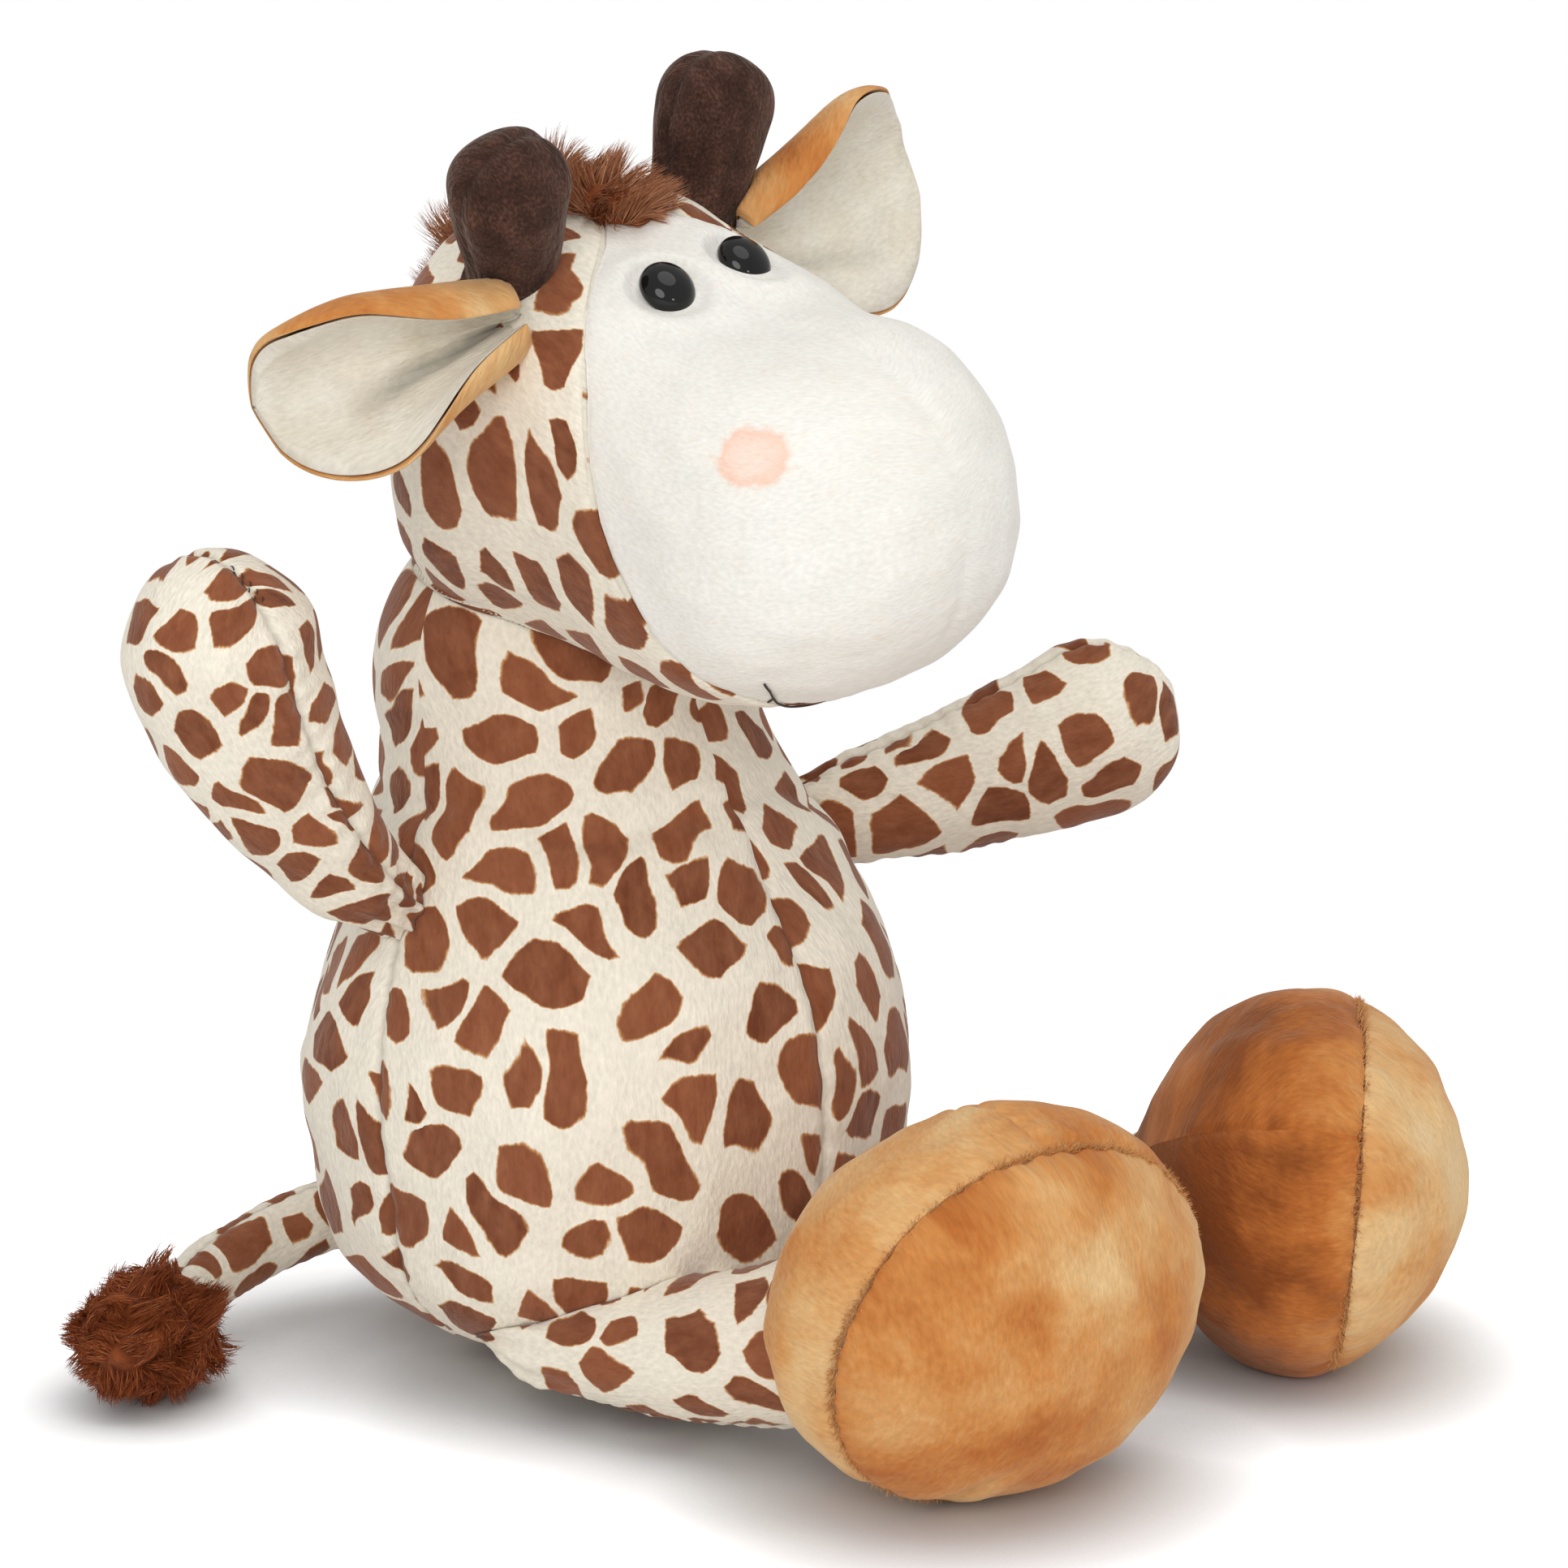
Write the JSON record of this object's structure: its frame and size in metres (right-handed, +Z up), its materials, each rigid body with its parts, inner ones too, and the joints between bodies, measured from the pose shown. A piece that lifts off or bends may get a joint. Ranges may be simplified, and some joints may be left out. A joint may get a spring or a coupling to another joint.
{
  "type": "plush giraffe",
  "caption": "Seated stuffed giraffe with a nodding head, bending ears, swinging arms, splaying legs with big soft feet, and a tufted tail.",
  "frame": {"origin": "middle of the flat seat, on the surface that the giraffe sits on", "axes": "+Z up, -Y the way the giraffe's body faces, -X its own right side"},
  "size_m": [0.2277, 0.2007, 0.2434],
  "materials": {
    "print_velvet": "short cut pile, cream with brown patches",
    "white_velvet": "short cut pile",
    "tan_velvet": "short cut pile, brushed",
    "horn_velvet": "short cut pile",
    "mane_fur": "long pile fur",
    "eye_plastic": "polished",
    "washer_plastic": "moulded"
  },
  "bodies": {
    "torso": {"body": "print_velvet"},
    "head": {"head_back": "print_velvet", "face": "white_velvet", "right_eye": "eye_plastic", "left_eye": "eye_plastic", "right_eye_washer": "washer_plastic", "left_eye_washer": "washer_plastic", "right_horn": "horn_velvet", "left_horn": "horn_velvet", "mane": "mane_fur"},
    "right_ear": {"right_ear_back": "tan_velvet", "right_ear_lining": "white_velvet"},
    "left_ear": {"left_ear_back": "tan_velvet", "left_ear_lining": "white_velvet"},
    "right_arm": {"right_arm": "print_velvet"},
    "left_arm": {"left_arm": "print_velvet"},
    "right_leg": {"right_leg": "print_velvet", "right_foot_upper": "tan_velvet", "right_foot_sole": "tan_velvet"},
    "left_leg": {"left_leg": "print_velvet", "left_foot_upper": "tan_velvet", "left_foot_sole": "tan_velvet"},
    "tail": {"tail": "print_velvet", "tail_tuft": "mane_fur"}
  },
  "joints": [
    {"name": "neck_nod", "type": "hinge", "parent": "torso", "child": "head", "pos_m": [0, 0.011, 0.128], "axis": [1, 0, 0], "range_deg": [-12, 12]},
    {"name": "right_ear_bend", "type": "hinge", "parent": "head", "child": "right_ear", "pos_m": [-0.04223, -0.01884, 0.19962], "axis": [-0.1736, 0, 0.9848], "range_deg": [-15, 15]},
    {"name": "left_ear_bend", "type": "hinge", "parent": "head", "child": "left_ear", "pos_m": [0.01519, -0.01884, 0.20974], "axis": [0.1736, 0, -0.9848], "range_deg": [-15, 15]},
    {"name": "right_arm_raise", "type": "hinge", "parent": "torso", "child": "right_arm", "pos_m": [-0.04639, 0.00431, 0.0927], "axis": [0, 1, 0], "range_deg": [-55, 8]},
    {"name": "left_arm_raise", "type": "hinge", "parent": "torso", "child": "left_arm", "pos_m": [0.04639, 0.00431, 0.0927], "axis": [0, -1, 0], "range_deg": [-15, 48]},
    {"name": "right_leg_splay", "type": "hinge", "parent": "torso", "child": "right_leg", "pos_m": [-0.04007, -0.01773, 0.01321], "axis": [0, 0, -1], "range_deg": [0, 45]},
    {"name": "left_leg_splay", "type": "hinge", "parent": "torso", "child": "left_leg", "pos_m": [0.04007, -0.01773, 0.01321], "axis": [0, 0, 1], "range_deg": [-5, 15]},
    {"name": "tail_swing", "type": "hinge", "parent": "torso", "child": "tail", "pos_m": [0, 0.04908, 0.0211], "axis": [0, 0, -1], "range_deg": [-12, 40]}
  ]
}
